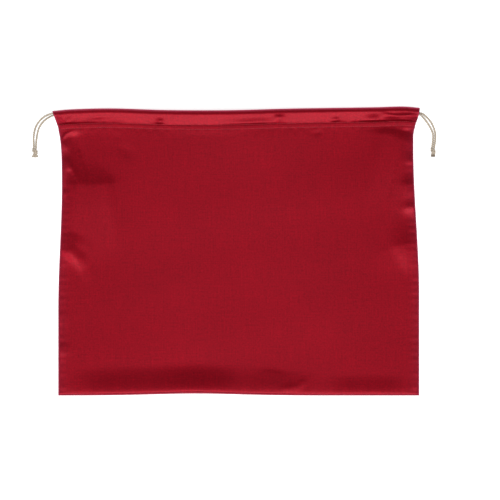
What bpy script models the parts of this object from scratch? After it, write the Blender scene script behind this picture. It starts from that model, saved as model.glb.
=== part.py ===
"""A satin drawstring dust bag, lying flat on a table with its mouth at the back (+Y).

Two satin panels are seamed down both sides and across the bottom. The top of each is folded inwards to
a hem, and two rows of stitches make a tunnel in it. Two cords run right round both tunnels: one comes out
at the left corner and the other at the right, and the two ends of each are tied in a knot.
Metres, +Z up. The origin is on the table under the middle of the bag.
"""

import math

import bmesh
import bpy
from mathutils import Vector

# The bag as it lies
BAG_WIDTH = 0.500
BAG_HEIGHT = 0.393
SATIN = 0.0003
GAP = 0.0003
PITCH = SATIN + GAP
SEAM_ALLOWANCE = 0.009
SEAM_PUFF = 0.0022
SEAM_PUFF_WIDTH = 0.0026
MOUTH_GAPE = 0.0052

# The hem and its tunnel, measured down from the top fold
HEM_DEPTH = 0.026
TUNNEL_DEPTH = 0.020
FACING_INSET = 0.019
TUNNEL_SLACK = 0.0009
CORNER_DROP = 0.0010
CORNER_REACH = 0.012

# The cords
CORD = 0.0025
CORD_PITCH = CORD + GAP
CORD_BEND = 0.0056
LANE_TOP = 0.0033
LANE_SECOND = LANE_TOP + CORD_PITCH
LANE_STEP = 0.024
FRONT_EXIT_LANE = 0.0092
BACK_EXIT_LANE = 0.0074
TURN_LEAD = 0.0035
DRIFT_FROM = 0.192
DRIFT_LENGTH = 0.032
DRIFT_BULGE = 0.0014
LEFT_TURN_X = -0.231
RIGHT_TURN_X = 0.229
CORD_LIFT = 0.00005
CORD_ON_TABLE = CORD / 2 + CORD_LIFT

# Where the cords lie outside, from the knot up to the corner of the bag: x, y and how far off the table
LEFT_OUTER = [(-0.27500, 0.1396, 0.00105), (-0.27530, 0.1458, 0.0003), (-0.2755, 0.1530, 0), (-0.2747, 0.1608, 0),
              (-0.2723, 0.1692, 0), (-0.2674, 0.1768, 0.0002), (-0.2604, 0.1829, 0.0016)]
LEFT_INNER = [(-0.27215, 0.1396, 0.00105), (-0.27200, 0.1458, 0.0003), (-0.2713, 0.1530, 0), (-0.2702, 0.1600, 0),
              (-0.2682, 0.1670, 0), (-0.2640, 0.1739, 0), (-0.2575, 0.1799, 0.0002)]
RIGHT_OUTER = [(0.26950, 0.1400, 0.00105), (0.27030, 0.1452, 0.0003), (0.2711, 0.1515, 0), (0.2711, 0.1594, 0),
               (0.2691, 0.1673, 0), (0.2651, 0.1754, 0), (0.2592, 0.1823, 0), (0.2538, 0.1865, 0.0003)]
RIGHT_INNER = [(0.26665, 0.1400, 0.00105), (0.26735, 0.1452, 0.0003), (0.2680, 0.1515, 0), (0.2678, 0.1594, 0),
               (0.2651, 0.1665, 0), (0.2604, 0.1742, 0.0002), (0.2556, 0.1803, 0.0018)]

# The knots, from the neck to the cut ends: share of the length, and share of the greatest half width
KNOT_LENGTH = 0.0112
KNOT_HALF_WIDTH = 0.0040
KNOT_FLATNESS = 0.80
KNOT_SLANT = 0.0007
KNOT_SIDES = 14
KNOT_SHAPE = [(0.0, 0.58), (0.05, 0.72), (0.14, 0.88), (0.24, 0.90), (0.31, 0.80), (0.40, 0.94), (0.50, 0.98),
              (0.58, 0.86), (0.64, 0.74), (0.74, 0.84), (0.88, 0.98), (0.97, 1.0), (1.0, 0.93)]
LEFT_KNOT_FLARE = 0.10
RIGHT_KNOT_FLARE = -0.10
KNOT_CENTRES = {"left": (-0.27357, 0.1393), "right": (0.26808, 0.1397)}

# The outline: how far each edge draws in from the rectangle
LEFT_DRAW_IN = 0.0135
LEFT_DRAW_LENGTH = 0.026
LEFT_DRAW_POWER = 1.3
LEFT_SPREAD = 0.0050
RIGHT_DRAW_IN = 0.0092
RIGHT_DRAW_LENGTH = 0.040
RIGHT_SPREAD = 0.0080
BOTTOM_RISE = 0.0026
BOTTOM_RISE_X = -0.055
BOTTOM_RISE_WIDTH = 0.082
TOP_DROP = [(-1.0, 0.0062), (-0.9, 0.0039), (-0.68, 0.0026), (-0.38, 0.0048), (-0.04, 0.0050),
            (0.3, 0.0028), (0.76, 0.0010), (0.91, 0.0), (1.0, 0.0018)]

# Folds in the front panel: x, y, half length, half width above, half width below, turn in degrees, height
FOLDS = {
    "dent_under_left_corner": (-0.229, 0.147, 0.013, 0.010, 0.013, 0, -0.0017),
    "sag_at_left": (-0.201, 0.112, 0.027, 0.034, 0.017, 0, -0.0024),
    "ridge_at_left_edge": (-0.226, -0.004, 0.024, 0.010, 0.010, -36, 0.0018),
    "dent_under_right_corner": (0.232, 0.160, 0.028, 0.007, 0.009, -10, -0.0013),
    "dent_at_right_edge": (0.238, 0.107, 0.009, 0.010, 0.010, 0, -0.0009),
    "ridge_at_right_edge": (0.241, 0.060, 0.009, 0.007, 0.007, 0, 0.0008),
    "sag_at_right": (0.236, 0.037, 0.021, 0.014, 0.019, 24, -0.0022),
    "trough_along_bottom": (-0.050, -0.160, 0.135, 0.040, 0.021, 0, -0.0019),
}

# The spacing of the cloth's mesh
FIRST_STEP = 0.0014
FRONT_GROWTH = 1.6
FRONT_WIDEST_STEP = 0.026
BACK_GROWTH = 1.9
BACK_WIDEST_STEP = 0.040

HALF_WIDTH = BAG_WIDTH / 2
HALF_HEIGHT = BAG_HEIGHT / 2
MOUTH_HALF_WIDTH = HALF_WIDTH - LEFT_DRAW_IN
OVER_CORDS = CORD + 2 * GAP + SATIN
BACK_LEVEL = SATIN / 2
BACK_FACING_LEVEL = BACK_LEVEL + OVER_CORDS
BACK_CORD_LEVEL = BACK_LEVEL + OVER_CORDS / 2
SEAM_LEVEL = BACK_LEVEL + 3 * PITCH
TURN_RISE = OVER_CORDS / 2 + PITCH + OVER_CORDS / 2
TURN_REACH = math.sqrt((2 * CORD_BEND) ** 2 - TURN_RISE ** 2)
DRIFT_LANE = LANE_TOP + CORD_PITCH * 2 * CORD_BEND / TURN_RISE + 3 * GAP


def clear_scene():
    for thing in list(bpy.data.objects):
        bpy.data.objects.remove(thing)


def make_material(name, colour, roughness, sheen):
    material = bpy.data.materials.new(name)
    material.use_nodes = True
    surface = material.node_tree.nodes["Principled BSDF"]
    surface.inputs["Base Color"].default_value = (*colour, 1.0)
    surface.inputs["Roughness"].default_value = roughness
    surface.inputs["Sheen Weight"].default_value = sheen
    return material


def mix(a, b, share):
    return a + (b - a) * share


def smooth(share):
    share = min(1.0, max(0.0, share))
    return share * share * (3 - 2 * share)


def through(points, at):
    """The height at a place on one smooth line through a few (place, height) points."""
    places = [p for p, _ in points]
    heights = [h for _, h in points]
    at = min(places[-1], max(places[0], at))
    i = max(k for k in range(len(points) - 1) if places[k] <= at)
    slopes = []
    for k in (i, i + 1):
        low, high = max(0, k - 1), min(len(points) - 1, k + 1)
        slopes.append((heights[high] - heights[low]) / (places[high] - places[low]))
    span = places[i + 1] - places[i]
    t = (at - places[i]) / span
    return ((2 * t ** 3 - 3 * t ** 2 + 1) * heights[i] + (t ** 3 - 2 * t ** 2 + t) * span * slopes[0]
            + (3 * t ** 2 - 2 * t ** 3) * heights[i + 1] + (t ** 3 - t ** 2) * span * slopes[1])


def top_edge(x):
    return HALF_HEIGHT - through(TOP_DROP, x / HALF_WIDTH)


def bottom_edge(x):
    return -HALF_HEIGHT + GAP + BOTTOM_RISE * math.exp(-((x - BOTTOM_RISE_X) / BOTTOM_RISE_WIDTH) ** 2)


def left_edge(down):
    drawn = LEFT_DRAW_IN * (1 - math.exp(-(max(0.0, down) / LEFT_DRAW_LENGTH) ** LEFT_DRAW_POWER))
    return -HALF_WIDTH + drawn - LEFT_SPREAD * smooth((down - 0.100) / 0.170)


def right_edge(down):
    drawn = RIGHT_DRAW_IN * smooth(down / RIGHT_DRAW_LENGTH)
    return HALF_WIDTH - drawn + RIGHT_SPREAD * smooth((down - 0.055) / 0.200)


def side_distance(x, down):
    return min(x - left_edge(down), right_edge(down) - x)


def mouth_share(x):
    """How much of the mouth's gape there is at x: 1 in the middle and 0 at the corners."""
    return max(0.0, 1 - (x / MOUTH_HALF_WIDTH) ** 2) ** 1.5


def front_facing_level(x):
    return BACK_FACING_LEVEL + PITCH + MOUTH_GAPE * mouth_share(x)


def corner_drop(from_side):
    return CORNER_DROP * (1 - smooth(from_side / CORNER_REACH))


def hem_level(x, from_side):
    """The front along its lower row of stitches: over the back's hem at the sides, raised in the middle."""
    draped = SEAM_LEVEL + 2 * PITCH * smooth(from_side / FACING_INSET)
    return mix(draped, front_facing_level(x) + 2 * PITCH, 1 - (1 - mouth_share(x)) ** 2.2)


def upper_row_level(x, from_side):
    """The same along the upper row of stitches, which the back's tunnel holds up at the sides."""
    return hem_level(x, from_side) + mix(0.0014, 0.0003, mouth_share(x)) * smooth(from_side / FACING_INSET)


def drift_share(x):
    """How far the right cord has moved down the front tunnel, to pass over the turn of the left cord."""
    return smooth((x - DRIFT_FROM) / DRIFT_LENGTH)


def fold_height(x, y):
    """All the folds of the front panel at one place."""
    total = 0.0
    for fold_x, fold_y, length, above, below, turn, height in FOLDS.values():
        c, s = math.cos(math.radians(turn)), math.sin(math.radians(turn))
        along = (x - fold_x) * c + (y - fold_y) * s
        across = (y - fold_y) * c - (x - fold_x) * s
        width = above if across > 0 else below
        total += height * math.exp(-(along / length) ** 2 - (across / width) ** 2)
    return total


def front_body_level(x, y, from_side, from_bottom, from_hem):
    share = from_bottom / (from_bottom + from_hem)
    ramp = mix(SEAM_LEVEL, hem_level(x, from_side), share)
    edge = (1 - math.exp(-from_side / SEAM_PUFF_WIDTH)) * (1 - math.exp(-from_bottom / SEAM_PUFF_WIDTH))
    at_hem = smooth(from_hem / HEM_DEPTH)
    puff = SEAM_PUFF * mix(1.0, at_hem, share) * (1 - mouth_share(x) * share)
    return max(SEAM_LEVEL, ramp + edge * (puff + fold_height(x, y) * at_hem))


def back_body_level(x, y, from_side, from_bottom, from_hem):
    return BACK_LEVEL


# A hem is a list of rows, each with its layer, its distance below the top fold and its height.
FRONT_HEM = ([("stitched", d, 0.0) for d in (HEM_DEPTH, (HEM_DEPTH + TUNNEL_DEPTH) / 2, TUNNEL_DEPTH)]
             + [("slope", mix(TUNNEL_DEPTH, LANE_SECOND, share), share) for share in (0.25, 0.5, 0.75, 1.0)]
             + [("fold", LANE_TOP + 0.3 * CORD_PITCH, OVER_CORDS + 0.45 * TUNNEL_SLACK),
                ("fold", LANE_TOP - 0.4 * CORD, OVER_CORDS),
                ("fold", LANE_TOP - CORD, 0.62 * OVER_CORDS),
                ("fold", 0.0002, 0.34 * OVER_CORDS),
                ("fold", 0.0, 0.17 * OVER_CORDS),
                ("fold", 0.0004, 0.02 * OVER_CORDS),
                ("facing", 0.0016, 0.0),
                ("facing", LANE_TOP + CORD, 0.0),
                ("facing", 0.011, 0.0),
                ("facing", TUNNEL_DEPTH - 0.5 * CORD_PITCH, 0.0)]
             + [("hem", TUNNEL_DEPTH, 2.0), ("hem", HEM_DEPTH, 2.0), ("hem", HEM_DEPTH + GAP, 1.5),
                ("hem", HEM_DEPTH, 1.0), ("hem", TUNNEL_DEPTH + PITCH, 1.0)])

BACK_HEM = ([("flat", d, 0.0) for d in (HEM_DEPTH, TUNNEL_DEPTH, 0.5 * TUNNEL_DEPTH, LANE_TOP, 0.0011)]
            + [("fold", 0.0003, 0.0002),
               ("fold", 0.0, 0.24 * OVER_CORDS),
               ("fold", 0.0003, 0.45 * OVER_CORDS),
               ("fold", 0.0012, 0.78 * OVER_CORDS),
               ("facing", 0.0026, 0.97 * OVER_CORDS),
               ("facing", LANE_TOP + CORD, OVER_CORDS),
               ("facing", 0.011, OVER_CORDS),
               ("facing", TUNNEL_DEPTH - 0.75 * CORD_PITCH, OVER_CORDS),
               ("facing", TUNNEL_DEPTH - 0.3 * CORD_PITCH, 0.66 * OVER_CORDS)]
            + [("hem", TUNNEL_DEPTH, 2.0), ("hem", HEM_DEPTH, 2.0), ("hem", HEM_DEPTH + GAP, 1.5),
               ("hem", HEM_DEPTH, 1.0), ("hem", TUNNEL_DEPTH + PITCH, 1.0)])


def front_hem_level(layer, down, height, x, from_side):
    up_hem = min(1.0, (HEM_DEPTH - down) / (HEM_DEPTH - TUNNEL_DEPTH))
    stitched = mix(hem_level(x, from_side), upper_row_level(x, from_side), up_hem)
    facing = front_facing_level(x)
    if layer == "stitched":
        return stitched
    if layer == "hem":
        return stitched - height * PITCH
    if layer == "facing":
        return facing
    if layer == "slope":
        ridge = facing + OVER_CORDS + TUNNEL_SLACK - corner_drop(from_side)
        bulge = DRIFT_BULGE * drift_share(x) * math.exp(-((down - DRIFT_LANE) / 0.0035) ** 2)
        return mix(stitched, ridge, height) + bulge
    return facing + height - corner_drop(from_side)


def back_hem_level(layer, down, height, x, from_side):
    if layer == "hem":
        return BACK_LEVEL + height * PITCH
    return BACK_LEVEL + height


def graded(length, first, growth, widest):
    """Places from 0 to length whose steps grow from the first one, up to the widest."""
    places, step = [0.0], first
    while places[-1] < length:
        places.append(places[-1] + step)
        step = min(widest, step * growth)
    return [p * length / places[-1] for p in places]


def both_ways(length, first, growth, widest):
    """Places from 0 to length, close together at both ends."""
    half = graded(length / 2, first, growth, widest)
    return half + [length - p for p in reversed(half[:-1])]


def body_point(across, up, level_of):
    """A point of a panel's body: across is -1 to 1, and up is 0 at the bottom seam and 1 at the hem."""
    x = across * HALF_WIDTH
    for _ in range(3):
        y = mix(bottom_edge(x), top_edge(x) - HEM_DEPTH, up)
        down = top_edge(x) - y
        x = mix(left_edge(down), right_edge(down), (across + 1) / 2)
    from_hem = max(0.0, top_edge(x) - HEM_DEPTH - y)
    return Vector((x, y, level_of(x, y, side_distance(x, down), y - bottom_edge(x), from_hem)))


def hem_point(across, row, level_of):
    """A point of a hem row: across is -1 at the left side and 1 at the right."""
    layer, down, height = row
    x = mix(left_edge(down), right_edge(down), (across + 1) / 2)
    return Vector((x, top_edge(x) - down, level_of(layer, down, height, x, side_distance(x, down))))


def add_seam_turn(mesh, chain, outward, corners, turn):
    """Turns the edge of a panel inwards along a chain of points: round the seam, then flat inside."""
    reaches = []
    for point in chain:
        to_corner = min((point.co - corner.co).length for corner in corners)
        reaches.append((GAP, 0.0, -min(SEAM_ALLOWANCE, 0.0004 + 0.7 * to_corner)))
    rings = []
    for k, level in enumerate((0.5, 1.0, 1.0)):
        rings.append([mesh.verts.new(point.co + Vector((side * reach[k], end * reach[k], turn * level * PITCH)))
                      for point, (side, end), reach in zip(chain, outward, reaches)])
    for near, far in zip([chain] + rings[:-1], rings):
        for i in range(len(chain) - 1):
            mesh.faces.new((near[i], near[i + 1], far[i + 1], far[i]))


def make_panel(name, material, columns, rows, hem, body_level_of, hem_level_of, turn):
    """One satin panel as a single sheet: its body, its hem, and its seam allowance turned inside."""
    mesh = bmesh.new()
    last = len(columns) - 1
    cut = next(i for i, c in enumerate(columns) if (c + 1) * HALF_WIDTH >= FACING_INSET)
    grid = [[mesh.verts.new(body_point(c, up, body_level_of)) for c in columns] for up in rows[:-1]]
    for row in hem:
        inside = row[0] in ("facing", "hem")
        grid.append([None if inside and not cut <= i <= last - cut else mesh.verts.new(hem_point(c, row, hem_level_of))
                     for i, c in enumerate(columns)])
    for lower, upper in zip(grid, grid[1:]):
        for i in range(last):
            corners = (lower[i], lower[i + 1], upper[i + 1], upper[i])
            if None not in corners:
                mesh.faces.new(corners)
    sides = len(rows)
    left = [grid[r][0] for r in range(sides - 1, 0, -1)]
    right = [grid[r][-1] for r in range(1, sides)]
    outward = [(-1, 0)] * len(left) + [(-1, -1)] + [(0, -1)] * (last - 1) + [(1, -1)] + [(1, 0)] * len(right)
    add_seam_turn(mesh, left + grid[0] + right, outward, (grid[0][0], grid[0][-1]), turn)
    bmesh.ops.recalc_face_normals(mesh, faces=mesh.faces)
    data = bpy.data.meshes.new(name)
    mesh.to_mesh(data)
    mesh.free()
    sheet = bpy.data.objects.new(name, data)
    bpy.context.scene.collection.objects.link(sheet)
    data.materials.append(material)
    data.shade_smooth()
    cloth = sheet.modifiers.new("Cloth thickness", "SOLIDIFY")
    cloth.thickness = SATIN
    cloth.offset = 0.0
    cloth.use_even_offset = True
    return sheet


def smooth_line(points, step):
    """Points about step apart along one smooth curve through the given points."""
    line = [Vector(p) for p in points]
    ends = [line[0] * 2 - line[1]] + line + [line[-1] * 2 - line[-2]]
    found = [line[0]]
    for a, b, c, d in zip(ends, ends[1:], ends[2:], ends[3:]):
        near = (b - a).length ** 0.5
        span = (c - b).length ** 0.5
        far = (d - c).length ** 0.5
        leave = (b - a) / near - (c - a) / (near + span) + (c - b) / span
        arrive = (c - b) / span - (d - b) / (span + far) + (d - c) / far
        pieces = max(1, round((c - b).length / step))
        for k in range(1, pieces + 1):
            t = k / pieces
            found.append(b * (2 * t ** 3 - 3 * t ** 2 + 1) + leave * span * (t ** 3 - 2 * t ** 2 + t)
                         + c * (3 * t ** 2 - 2 * t ** 3) + arrive * span * (t ** 3 - t ** 2))
    return found


def thinned(line, turn, reach):
    """The same line with fewer points where it runs straight."""
    kept = [line[0]]
    for here, after in zip(line[1:], line[2:]):
        if (after - here).angle(here - kept[-1]) > turn or (after - kept[-1]).length > reach:
            kept.append(here)
    return kept + [line[-1]]


def front_lane(x, lane):
    y = top_edge(x) - lane
    drop = corner_drop(side_distance(x, lane))
    return (x, y, front_facing_level(x) + OVER_CORDS / 2 - drop)


def back_lane(x, lane):
    return (x, top_edge(x) - lane, BACK_CORD_LEVEL)


def lane_places(start, end):
    """Places along a tunnel between two x, with one close to each end."""
    way = 1 if end > start else -1
    first, last = start + way * TURN_LEAD, end - way * TURN_LEAD
    count = max(1, round(abs(last - first) / LANE_STEP))
    return [mix(first, last, k / count) for k in range(count + 1)]


def end_turn(turn_x, way, lane):
    """A cord's turn at the end of a tunnel, from the front tunnel down to the back one."""
    points = []
    for degrees in range(0, 181, 30):
        angle = math.radians(degrees)
        x = turn_x + way * CORD_BEND * math.sin(angle)
        down = lane + TURN_REACH * (1 - math.cos(angle)) / 2
        top, bottom = front_lane(turn_x, lane)[2], BACK_CORD_LEVEL
        points.append((x, top_edge(turn_x) - down, mix(top, bottom, (1 - math.cos(angle)) / 2)))
    return points


def outside(points):
    return [(x, y, CORD_ON_TABLE + off) for x, y, off in points]


def left_cord_route():
    """Knot, left corner, along the front, round at the right, back along the back tunnel, and to the knot."""
    route = outside(LEFT_OUTER)
    route += [front_lane(x, LANE_TOP) for x in [-0.2503, -0.244] + lane_places(-0.240, RIGHT_TURN_X)]
    route += end_turn(RIGHT_TURN_X, 1, LANE_TOP)
    low = LANE_TOP + TURN_REACH
    for x in lane_places(RIGHT_TURN_X, -0.240):
        share = (RIGHT_TURN_X - x) / (RIGHT_TURN_X + 0.240)
        route.append(back_lane(x, mix(low, LANE_SECOND, smooth(share))))
    route += [back_lane(x, LANE_SECOND) for x in (-0.2425, -0.2490)]
    return route + list(reversed(outside(LEFT_INNER)))


def right_cord_route():
    """Knot, right corner, along the front, round at the left, back along the back tunnel, and to the knot."""
    route = outside(RIGHT_INNER)
    route += [front_lane(0.2496, FRONT_EXIT_LANE), front_lane(0.2445, mix(FRONT_EXIT_LANE, DRIFT_LANE, 0.5))]
    for x in [0.2375, 0.227, 0.217, 0.207, 0.197] + lane_places(0.192, LEFT_TURN_X):
        route.append(front_lane(x, mix(LANE_SECOND, DRIFT_LANE, drift_share(x))))
    route += end_turn(LEFT_TURN_X, -1, LANE_SECOND + GAP)
    low = LANE_SECOND + GAP + TURN_REACH
    route += [back_lane(x, low) for x in lane_places(LEFT_TURN_X, 0.2300)]
    route += [back_lane(0.2335, low - 0.0003), back_lane(0.2385, low - 0.0027), back_lane(0.2430, low - 0.0062),
              back_lane(0.2482, BACK_EXIT_LANE)]
    return route + list(reversed(outside(RIGHT_OUTER)))


def make_cord(name, material, route):
    """A cord as a round tube along its route, with closed ends."""
    points = thinned(smooth_line(route, CORD * 0.8), math.radians(10), LANE_STEP)
    curve = bpy.data.curves.new(name, "CURVE")
    curve.dimensions = "3D"
    curve.bevel_depth = CORD / 2
    curve.bevel_resolution = 2
    curve.use_fill_caps = True
    spline = curve.splines.new("POLY")
    spline.points.add(len(points) - 1)
    for point, place in zip(spline.points, points):
        point.co = (*place, 1.0)
    cord = bpy.data.objects.new(name, curve)
    bpy.context.scene.collection.objects.link(cord)
    curve.materials.append(material)
    return cord


def make_knot(name, material, centre, flare):
    """A tied knot with its cut ends, as one lumpy body whose wraps lie at a slant."""
    mesh = bmesh.new()
    tallest = KNOT_HALF_WIDTH * KNOT_FLATNESS
    rings = []
    for along, wide in KNOT_SHAPE:
        half = KNOT_HALF_WIDTH * wide * (1 + flare * smooth((along - 0.6) / 0.4))
        high = min(tallest, half * KNOT_FLATNESS)
        level = CORD_LIFT + mix(high, tallest, 0.5)
        slant = KNOT_SLANT * math.sin(math.pi * min(1.0, along / 0.7))
        ring = []
        for k in range(KNOT_SIDES):
            angle = 2 * math.pi * k / KNOT_SIDES
            ring.append(mesh.verts.new((centre[0] + half * math.cos(angle),
                                        centre[1] - along * KNOT_LENGTH + slant * math.cos(angle),
                                        level + high * math.sin(angle))))
        rings.append(ring)
    for near, far in zip(rings, rings[1:]):
        for k in range(KNOT_SIDES):
            mesh.faces.new((near[k], near[k - 1], far[k - 1], far[k]))
    mesh.faces.new(rings[0])
    mesh.faces.new(list(reversed(rings[-1])))
    bmesh.ops.recalc_face_normals(mesh, faces=mesh.faces)
    data = bpy.data.meshes.new(name)
    mesh.to_mesh(data)
    mesh.free()
    knot = bpy.data.objects.new(name, data)
    bpy.context.scene.collection.objects.link(knot)
    data.materials.append(material)
    data.shade_smooth()
    return knot


def main():
    clear_scene()
    satin = make_material("satin", (0.29, 0.008, 0.016), 0.38, 0.3)
    cotton = make_material("cotton_cord", (0.76, 0.65, 0.50), 0.85, 0.2)

    # Both satin panels, from the same outline
    body_length = BAG_HEIGHT - HEM_DEPTH
    front_steps = (FIRST_STEP, FRONT_GROWTH, FRONT_WIDEST_STEP)
    back_steps = (FIRST_STEP, BACK_GROWTH, BACK_WIDEST_STEP)
    for name, steps, hem, body_level, hem_level_of, turn in (
            ("front_panel", front_steps, FRONT_HEM, front_body_level, front_hem_level, -1),
            ("back_panel", back_steps, BACK_HEM, back_body_level, back_hem_level, 1)):
        columns = [2 * place / BAG_WIDTH - 1 for place in both_ways(BAG_WIDTH, *steps)]
        rows = [place / body_length for place in both_ways(body_length, *steps)]
        make_panel(name, satin, columns, rows, hem, body_level, hem_level_of, turn)

    # The two cords and their knots
    make_cord("left_drawcord", cotton, left_cord_route())
    make_cord("right_drawcord", cotton, right_cord_route())
    make_knot("left_knot", cotton, KNOT_CENTRES["left"], LEFT_KNOT_FLARE)
    make_knot("right_knot", cotton, KNOT_CENTRES["right"], RIGHT_KNOT_FLARE)


main()
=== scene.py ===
import bpy
import bmesh
import math
import numpy as np
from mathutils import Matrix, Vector


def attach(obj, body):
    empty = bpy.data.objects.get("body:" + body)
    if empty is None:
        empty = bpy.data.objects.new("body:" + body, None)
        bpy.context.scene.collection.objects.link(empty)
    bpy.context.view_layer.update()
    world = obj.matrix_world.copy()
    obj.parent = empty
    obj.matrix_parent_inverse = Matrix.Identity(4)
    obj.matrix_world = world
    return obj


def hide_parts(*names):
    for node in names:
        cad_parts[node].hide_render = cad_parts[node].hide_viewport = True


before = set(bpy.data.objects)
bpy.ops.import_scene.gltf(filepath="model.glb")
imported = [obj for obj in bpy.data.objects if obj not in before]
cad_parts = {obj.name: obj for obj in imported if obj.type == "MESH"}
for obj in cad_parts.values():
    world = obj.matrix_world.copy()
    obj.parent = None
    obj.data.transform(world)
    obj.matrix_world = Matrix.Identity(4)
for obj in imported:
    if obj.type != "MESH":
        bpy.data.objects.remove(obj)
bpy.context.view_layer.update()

# the camera looks straight down at the bag, 680 mm of table across the picture
cameraSettings = {
    "across": 0.680,
    "lens": 600.0,
    "centre": (0.0190, 0.0014),
    "height": 0.008,
}

camData = bpy.data.cameras.new("camera")
camData.lens = cameraSettings["lens"]
camData.clip_end = 50
cam = bpy.data.objects.new("camera", camData)
bpy.context.scene.collection.objects.link(cam)
camDistance = cameraSettings["across"] * camData.lens / camData.sensor_width
cam.location = (*cameraSettings["centre"], cameraSettings["height"] + camDistance)
bpy.context.scene.camera = cam
print("camera ready")


# small helpers

def mix(a, b, share):
    return a + (b - a) * share


def smooth(share):
    share = np.clip(share, 0.0, 1.0)
    return share * share * (3 - 2 * share)


def deselectAll():
    for o in list(bpy.context.selected_objects):
        o.select_set(False)


def pickOnly(o):
    deselectAll()
    o.select_set(True)
    bpy.context.view_layer.objects.active = o


def applyAll(o):
    pickOnly(o)
    for m in list(o.modifiers):
        bpy.ops.object.modifier_apply(modifier=m.name)


def newMaterial(name):
    m = bpy.data.materials.new(name)
    m.use_nodes = True
    return m, m.node_tree


def feed(tree, node, inputs):
    # each input gets a link from another node, or a value
    for name, source in inputs.items():
        if isinstance(source, bpy.types.NodeSocket):
            tree.links.new(source, node.inputs[name])
        else:
            node.inputs[name].default_value = source


def addNode(tree, kind, inputs=None, **settings):
    node = tree.nodes.new("ShaderNode" + kind)
    for name, value in settings.items():
        setattr(node, name, value)
    feed(tree, node, inputs or {})
    return node


def ranged(tree, value, fromRange, toRange=(0.0, 1.0)):
    return addNode(tree, "MapRange", {
        "Value": value, "From Min": fromRange[0], "From Max": fromRange[1],
        "To Min": toRange[0], "To Max": toRange[1],
    }).outputs["Result"]


def closedMesh(name, verts, faces, material):
    # an object with its normals outward and soft shading
    data = bpy.data.meshes.new(name)
    data.from_pydata(verts, [], faces)
    mesh = bmesh.new()
    mesh.from_mesh(data)
    bmesh.ops.recalc_face_normals(mesh, faces=mesh.faces)
    mesh.to_mesh(data)
    mesh.free()
    o = bpy.data.objects.new(name, data)
    bpy.context.scene.collection.objects.link(o)
    data.materials.append(material)
    data.shade_smooth()
    return o


# the bag as it was cut and as it lies; these sizes are the CAD part's own

bag = {
    "width": 0.500, "height": 0.393, "satin": 0.0003, "gap": 0.0003,
    "allowance": 0.009, "puff": 0.0022, "gape": 0.0052,
    "hem": 0.026, "tunnel": 0.020, "facingInset": 0.019, "slack": 0.0009,
    "cornerDrop": 0.0010, "cornerReach": 0.012,
    "cord": 0.0025, "bend": 0.0056, "laneTop": 0.0033,
    "driftFrom": 0.192, "driftLength": 0.032, "driftBulge": 0.0014, "driftWidth": 0.0035,
    # how far the hem draws each side in below it, and how far the cloth spreads again further down
    "leftDrawIn": 0.0135, "leftDrawLength": 0.026, "leftDrawPower": 1.3,
    "leftSpread": 0.0050, "leftSpreadFrom": 0.100, "leftSpreadLength": 0.170,
    "rightDrawIn": 0.0092, "rightDrawLength": 0.040,
    "rightSpread": 0.0080, "rightSpreadFrom": 0.055, "rightSpreadLength": 0.200,
    "bottomRise": 0.0026, "bottomRiseX": -0.055, "bottomRiseWidth": 0.082,
    "topDrop": [(-1.0, 0.0062), (-0.9, 0.0039), (-0.68, 0.0026), (-0.38, 0.0048), (-0.04, 0.0050),
                (0.3, 0.0028), (0.76, 0.0010), (0.91, 0.0), (1.0, 0.0018)],
}
pitch = bag["satin"] + bag["gap"]
halfWidth = bag["width"] / 2
halfHeight = bag["height"] / 2
overCords = bag["cord"] + 2 * bag["gap"] + bag["satin"]
backLevel = bag["satin"] / 2
backFacing = backLevel + overCords
seamLevel = backLevel + 3 * pitch
cordPitch = bag["cord"] + bag["gap"]
laneSecond = bag["laneTop"] + cordPitch
mouthHalf = halfWidth - bag["leftDrawIn"]
turnRise = overCords + pitch
turnReach = math.sqrt((2 * bag["bend"]) ** 2 - turnRise ** 2)
driftLane = bag["laneTop"] + cordPitch * 2 * bag["bend"] / turnRise + 3 * bag["gap"]


def through(points, at):
    places = np.array([p for p, _ in points])
    heights = np.array([h for _, h in points])
    slopes = np.empty(len(points))
    for k in range(len(points)):
        low, high = max(0, k - 1), min(len(points) - 1, k + 1)
        slopes[k] = (heights[high] - heights[low]) / (places[high] - places[low])
    at = np.clip(at, places[0], places[-1])
    i = np.clip(np.searchsorted(places, at, side="right") - 1, 0, len(points) - 2)
    span = places[i + 1] - places[i]
    t = (at - places[i]) / span
    return ((2 * t ** 3 - 3 * t ** 2 + 1) * heights[i] + (t ** 3 - 2 * t ** 2 + t) * span * slopes[i]
            + (3 * t ** 2 - 2 * t ** 3) * heights[i + 1] + (t ** 3 - t ** 2) * span * slopes[i + 1])


def topEdge(x):
    return halfHeight - through(bag["topDrop"], x / halfWidth)


def bottomEdge(x):
    rise = bag["bottomRise"] * np.exp(-((x - bag["bottomRiseX"]) / bag["bottomRiseWidth"]) ** 2)
    return -halfHeight + bag["gap"] + rise


def leftEdge(down):
    part = (np.maximum(0.0, down) / bag["leftDrawLength"]) ** bag["leftDrawPower"]
    drawn = bag["leftDrawIn"] * (1 - np.exp(-part))
    spread = bag["leftSpread"] * smooth((down - bag["leftSpreadFrom"]) / bag["leftSpreadLength"])
    return -halfWidth + drawn - spread


def rightEdge(down):
    drawn = bag["rightDrawIn"] * smooth(down / bag["rightDrawLength"])
    spread = bag["rightSpread"] * smooth((down - bag["rightSpreadFrom"]) / bag["rightSpreadLength"])
    return halfWidth - drawn + spread


def sideDistance(x, down):
    return np.minimum(x - leftEdge(down), rightEdge(down) - x)


def mouthShare(x):
    return np.maximum(0.0, 1 - (x / mouthHalf) ** 2) ** 1.5


def frontFacing(x):
    return backFacing + pitch + bag["gape"] * mouthShare(x)


def cornerDrop(fromSide):
    return bag["cornerDrop"] * (1 - smooth(fromSide / bag["cornerReach"]))


def hemLevel(x, fromSide):
    draped = seamLevel + 2 * pitch * smooth(fromSide / bag["facingInset"])
    return mix(draped, frontFacing(x) + 2 * pitch, 1 - (1 - mouthShare(x)) ** 2.2)


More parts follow.
